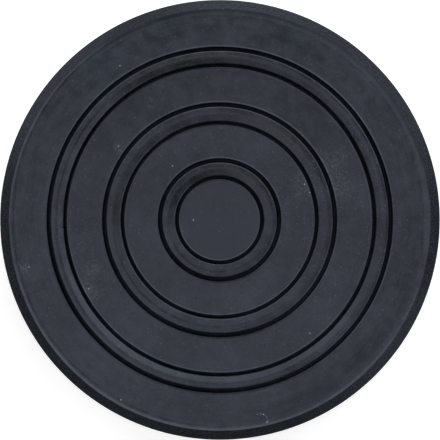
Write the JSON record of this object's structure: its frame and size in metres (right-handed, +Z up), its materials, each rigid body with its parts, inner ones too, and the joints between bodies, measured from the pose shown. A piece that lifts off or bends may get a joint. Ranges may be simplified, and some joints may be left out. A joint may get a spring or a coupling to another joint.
{
  "type": "car lift rubber pad",
  "caption": "Round one-piece rubber pad for a lift arm, with a bevelled top edge and concentric round-topped grip ribs between narrow slots.",
  "frame": {"origin": "middle of the flat underside", "axes": "+Z up out of the ribbed face, along the disc's axis"},
  "size_m": [0.12, 0.12, 0.0205],
  "materials": {
    "rubber": "moulded blue-black rubber, satin, lightly dusty"
  },
  "bodies": {
    "root": {"pad": "rubber"}
  },
  "joints": []
}
